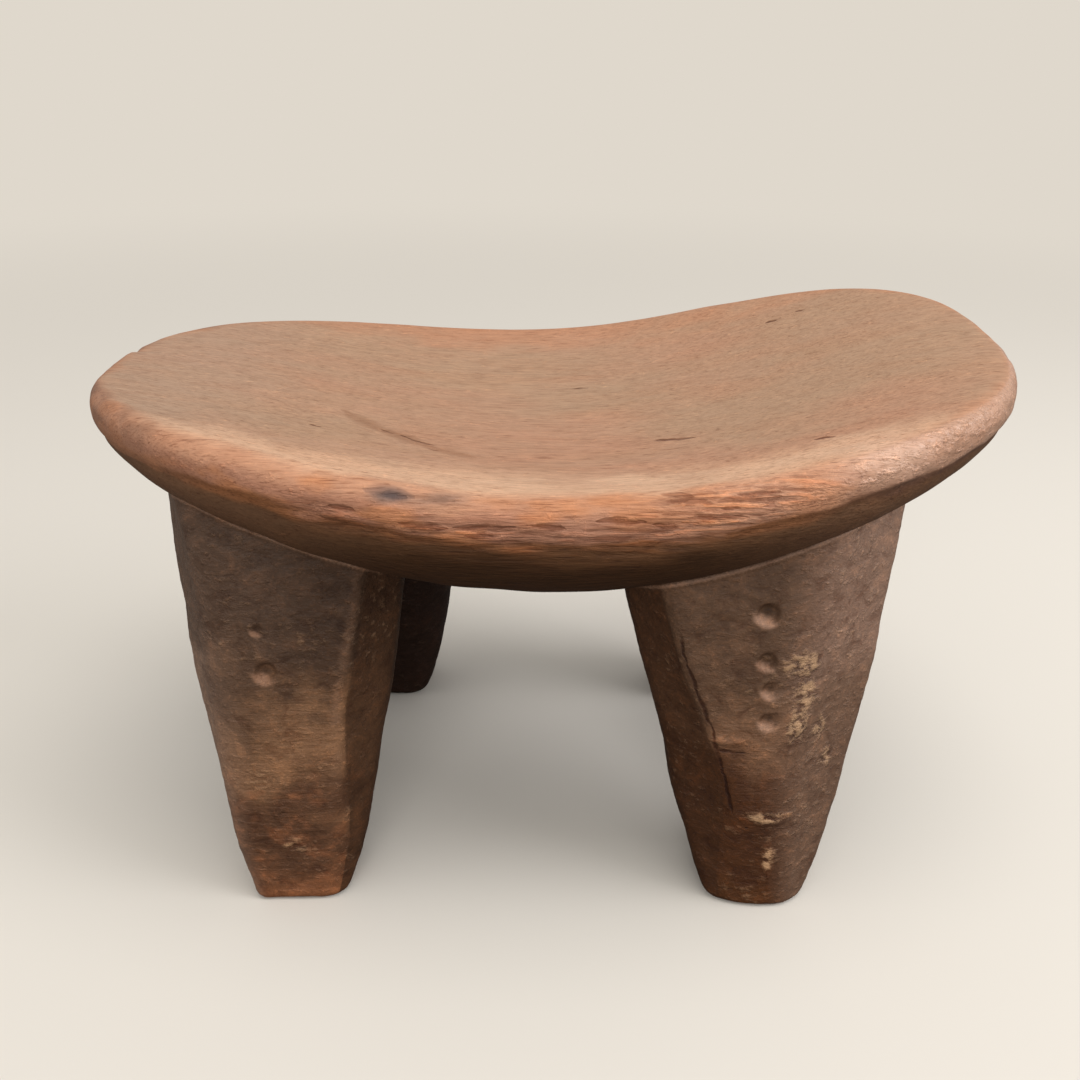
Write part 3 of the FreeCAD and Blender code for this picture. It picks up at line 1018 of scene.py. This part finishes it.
def leg_paint(points, labels, depth, worn, look, seed):
    """Base colours and surface masks of a leg."""
    x, _, z = points.T
    blotch = noise(points, (26, 26, 30), seed + 5, 3)
    small = noise(points, (9, 9, 6), seed + 7, 3)
    flecks = ease(small, 0.1, 0.9)
    ridge = band(labels, 1.93, 2.04, 0.05) * (0.6 + 0.6 * small) * ease(z, 20, 70)
    crack = ridge_line(points, seed)
    crack = band(labels, crack, crack, 0.045) * band(z, 45, 150, 15)
    side = band(labels, -0.3, 1.0, 0.15) + ease(labels, 7.0, 7.2)
    flank = ease(np.abs(x), 84, 122) * ease(z + 20 * blotch, 84, 130) * band(labels, -0.3, 2.0, 0.1)
    colours = paint_over(
        np.tile(look["upper"], (len(points), 1)),
        (look["middle"], ease(z + 25 * blotch, 130, 85)),
        (look["lower"], ease(z + 22 * blotch, *look["turn"])),
        (look["foot"], ease(z + 10 * blotch + 5 * small, 22, 4)),
        (look["upper"] * 1.45, 0.7 * flecks * ease(z, 60, 110)),
        (look["foot"] * 1.15, 0.5 * flecks * ease(z, 90, 50)),
        # Darker inner facet: partly the wood's tone, partly painted shade where it faces in under the
        # seat
        (look["inner"], 0.85 * band(labels, 2.12, 3.3, 0.06)),
        # Painted highlight along the crisp ridge
        (look["edge"], look["ridge"] * ridge),
        (look["inner"] * 0.45, crack),
        # Lighter outer chamfer and upper outer flank: partly the wood's dusty tone, partly a painted
        # highlight of light falling from the side
        (look["side"], 0.8 * side),
        (look["flank"], 0.8 * flank),
        # Darker back faces, which face in under the seat: partly painted shade, on the rear legs
        # mostly painted shade
        (look["back"], band(labels, 3.6, 6.9, 0.2)),
        (look["edge"], 0.6 * band(depth, 0.2, 1.4, 0.7)),
        (look["inner"] * 0.7, ease(depth, 0.3, -1.0)),
    )
    colours = dimple_paint(colours, points, look)
    scratch = band(labels, 1.05, 1.95, 0.05) * band(z, 10, 105, 14)
    return colours, {
        "shine": 0.3 * side + look["sheen"],
        "tear": 0.1 * scratch + 0.15 * worn,
        "worn": worn + 0.08 + 0.2 * noise(points, (26, 26, 20), seed + 8),
    }


def build_leg(name, edges, front, shift, variation, look, seed):
    """One leg, in place of its CAD node."""
    vertices, quads, triangles, labels, depth = leg_mesh(edges, front, shift, variation)
    # The faces of a leg mirrored once look inward and are turned round
    if front * edges["outer"][0][1] < 0:
        quads, triangles = quads[:, ::-1], triangles[:, ::-1]
    normals = vertex_normals(vertices, quads)
    worn = sum((bump(vertices, *spot) for spot in look["worn"]), np.zeros(len(vertices)))
    worn = np.clip(look["rough"] * worn, 0, 1)
    relief = leg_relief(vertices, labels, depth, worn, look, seed)
    vertices = vertices + normals * relief[:, None]
    vertices[:, 2] = np.maximum(vertices[:, 2], 0)
    colours, masks = leg_paint(vertices, labels, depth, worn, look, seed)
    faces = quads.tolist() + triangles.tolist()
    add_piece(f"leg_{name}", f"{name}_leg", LEG_WOOD, vertices, faces, colours, masks)


# Marks on the two front legs, in the same form as the seat's
LEG_STROKES = (
    (PALE, -0.6, (
        ((64, -95, 83), (73, -97, 89), 1.3), ((72, -97, 89), (81, -97, 83), 1.3),
        ((93, -100, 38), (95, -100, 16), 3.2), ((-115, -99, 31), (-103, -99, 31), 2.4),
        ((-116, -98, 50), (-108, -99, 38), 2.0),
    )),
    (CRACK, 0.9, (
        ((64, -95, 80), (80, -97, 80), 1.2), ((82, -99, 43), (102, -97, 43), 1.4),
        ((48, -91, 139), (54, -93, 118), 1.0), ((52, -92, 123), (60, -94, 104), 1.1),
        ((57, -94, 111), (67, -96, 87), 1.2), ((65, -95, 93), (72, -96, 67), 1.2),
        ((70, -96, 74), (78, -98, 46), 1.1),
    )),
    (LIP, -1.0, (((79, -98, 47), (104, -97, 49.5), 2.8),)),
)
LEG_GRAIN = {
    "stretch": 0.3, "streak": 0.2, "pore": 0.2, "speckle": 0.7, "mottle": 0.75,
    "roughness": 0.6, "relief": 0.7,
}
LEG_WOOD = wood("leg_wood", LEG_GRAIN, LEG_STROKES)

# Looks of the legs: colours from the top down and round the leg, the heights between which the
# middle colour turns into the lower one, the strength of each effect, centre and radii of the
# ledges and the rough worn places, and centre, radius and depth of the dimples. The side and flank
# colours are partly painted highlight, ridge is the strength of a painted highlight along the
# crisp ridge, and the inner and back colours are partly painted shade
LEFT_LOOK = {
    "upper": tone(65, 45, 31), "middle": tone(130, 95, 68), "lower": tone(88, 59, 40),
    "foot": tone(134, 86, 56), "inner": tone(66, 42, 25), "side": tone(140, 114, 98),
    "flank": tone(84, 63, 49), "edge": tone(138, 104, 82), "back": tone(70, 49, 36),
    "turn": (70, 40), "sheen": 0.15, "ridge": 0.35, "rough": 0.6, "ledges": (),
    "worn": (
        ((-108, -99, 31), (9, 8, 6)), ((-113, -98, 46), (7, 8, 10)),
        ((-119, -96, 64), (6, 8, 10)),
    ),
    "dimples": (((-115.4, -94.5, 132), 3.0, 0.9), ((-113.2, -96.5, 113.7), 5.2, 2.6)),
}
RIGHT_LOOK = {
    "upper": tone(88, 64, 47), "middle": tone(126, 92, 68), "lower": tone(74, 43, 22),
    "foot": tone(80, 47, 22), "inner": tone(66, 39, 20), "side": tone(112, 86, 69),
    "flank": tone(142, 112, 95), "edge": tone(146, 114, 94), "back": tone(70, 49, 36),
    "turn": (96, 70), "sheen": 0.15, "ridge": 0.0, "rough": 1.3,
    "ledges": (((93, -98, 47), (12, 9, 3.5)), ((72, -96, 85), (9, 6, 2.5))),
    "worn": (
        ((101, -94, 120), (15, 9, 8)), ((104, -93, 106), (12, 9, 14)),
        ((101, -95, 90), (10, 9, 12)), ((113, -89, 86), (8, 9, 9)), ((117, -84, 70), (6, 9, 7)),
        ((91, -99, 49), (12, 8, 4)), ((94, -100, 27), (4, 8, 9)),
    ),
    "dimples": (
        ((84.1, -93, 142), 5.6, 2.6), ((85.3, -95.5, 121.8), 4.5, 2.4),
        ((87.6, -96.5, 109.2), 4.2, 2.2), ((88.1, -97.5, 95.2), 4.6, 2.4),
    ),
}
# The rear legs' inner and back colours are very dark: mostly painted shade for faces that look in
# under the seat
REAR_LOOK = {
    "upper": tone(78, 58, 44), "middle": tone(92, 64, 46), "lower": tone(94, 62, 42),
    "foot": tone(116, 74, 48), "inner": tone(40, 24, 16), "side": tone(84, 63, 49),
    "flank": tone(88, 66, 51), "edge": tone(84, 62, 48), "back": tone(46, 29, 21),
    "turn": (75, 40), "sheen": 0.1, "ridge": 0.3, "rough": 1.0, "ledges": (), "worn": (),
    "dimples": (),
}

build_seat()
# Name, edges, side along y, shift along x, unevenness of the section, look and noise seed
for leg in (
    ("front_left", LEFT_LEG, -1, 0, 1.0, LEFT_LOOK, 40),
    ("front_right", RIGHT_LEG, -1, 0, -1.0, RIGHT_LOOK, 60),
    ("rear_left", LEFT_LEG, 1, REAR_LEFT_SHIFT, -0.5, REAR_LOOK, 80),
    ("rear_right", RIGHT_LEG, 1, REAR_RIGHT_SHIFT, 0.5, REAR_LOOK, 100),
):
    build_leg(*leg)


# ----- Stage, light and camera -----

BACKDROP = (0.74, 0.685, 0.605)
FLOOR = (0.74, 0.70, 0.64)
# Share of its light that the floor throws back, and half its size
FLOOR_BOUNCE = 0.2
FLOOR_REACH = 6.0
# Distances from the stool between which the floor fades into the backdrop
FADE_FROM = 0.45
FADE_TO = 2.0


def floor_paint():
    """Matt floor: it looks pale, throws back a share of its light and fades into the backdrop."""
    material, tree = new_nodes(bpy.data.materials, "pale_floor")
    seen = node(tree, "LightPath").outputs["Is Camera Ray"]
    dull = tuple(value * FLOOR_BOUNCE for value in FLOOR) + (1,)
    shade = mix(tree, seen, dull, (*FLOOR, 1))
    near = node(tree, "BsdfDiffuse", {"Color": shade}).outputs[0]
    far = node(tree, "Emission", {"Color": (*BACKDROP, 1)}).outputs[0]
    place = node(tree, "TexCoord").outputs["Object"]
    away = node(tree, "VectorMath", {0: place}, operation="LENGTH").outputs["Value"]
    inputs = {"Value": away, 1: FADE_FROM, 2: FADE_TO}
    fade = node(tree, "MapRange", inputs, interpolation_type="SMOOTHSTEP").outputs[0]
    shader = node(tree, "MixShader", {0: scaled(tree, fade, seen), 1: near, 2: far}).outputs[0]
    node(tree, "OutputMaterial", {"Surface": shader})
    return material


def add_floor():
    """Wide square floor at height zero."""
    mesh = bpy.data.meshes.new("floor")
    corners = ((-1, -1), (1, -1), (1, 1), (-1, 1))
    mesh.from_pydata([(FLOOR_REACH * x, FLOOR_REACH * y, 0) for x, y in corners], [], [(0, 1, 2, 3)])
    mesh.materials.append(floor_paint())
    add_object("floor", mesh)


def add_light(name, place, aim, size, power, colour):
    """Round soft lamp that points at the stool's middle line, at the height `aim`."""
    lamp = bpy.data.lights.new(name, "AREA")
    lamp.shape = "DISK"
    lamp.size = size
    lamp.energy = power
    lamp.color = colour
    turn = (Vector((0, 0, aim)) - Vector(place)).to_track_quat("-Z", "Y").to_matrix().to_4x4()
    add_object(name, lamp).matrix_world = Matrix.Translation(place) @ turn


# Camera: metres, degrees down, to the right and round its own axis, and millimetres
CAMERA_PLACE = (-0.0056, -0.459, 0.3471)
CAMERA_ANGLES = (25.45, 0.07, 0.91)
CAMERA_LENS = 36.1
CAMERA_SENSOR = 36


def add_camera():
    """Camera that looks a little down on the stool from close in front."""
    pitch, heading, roll = (math.radians(angle) for angle in CAMERA_ANGLES)
    turn = Matrix.Rotation(-heading, 4, "Z") @ Matrix.Rotation(math.pi / 2 - pitch, 4, "X")
    turn = turn @ Matrix.Rotation(roll, 4, "Z")
    lens = bpy.data.cameras.new("camera")
    lens.sensor_width = CAMERA_SENSOR
    lens.lens = CAMERA_LENS
    lens.clip_start = 0.01
    camera = add_object("camera", lens)
    camera.matrix_world = Matrix.Translation(CAMERA_PLACE) @ turn
    bpy.context.scene.camera = camera


def add_world(light, strength):
    """Even pale light all round, behind a backdrop colour that only the camera sees."""
    world, tree = new_nodes(bpy.data.worlds, "world")
    seen = node(tree, "LightPath").outputs["Is Camera Ray"]
    glow = node(tree, "Background", {"Color": (*light, 1), "Strength": strength}).outputs[0]
    plain_view = node(tree, "Background", {"Color": (*BACKDROP, 1), "Strength": 1.0}).outputs[0]
    shade = node(tree, "MixShader", {0: seen, 1: glow, 2: plain_view}).outputs[0]
    node(tree, "OutputWorld", {"Surface": shade})
    bpy.context.scene.world = world


add_floor()
add_light("key", (0.4, -0.6, 3.2), 0.15, 2.6, 45, (1.0, 0.98, 0.94))
add_light("window", (1.5, -0.45, 1.05), 0.15, 1.1, 13, (0.98, 0.98, 1.0))
add_light("front", (-0.2, -2.6, 1.1), 0.12, 1.6, 26, (1.0, 0.98, 0.95))
add_light("fill", (-1.7, -0.5, 0.7), 0.12, 1.2, 3, (1.0, 0.98, 0.96))
add_world((1.0, 0.98, 0.95), 0.5)
add_camera()
bpy.context.scene.view_settings.view_transform = "Standard"
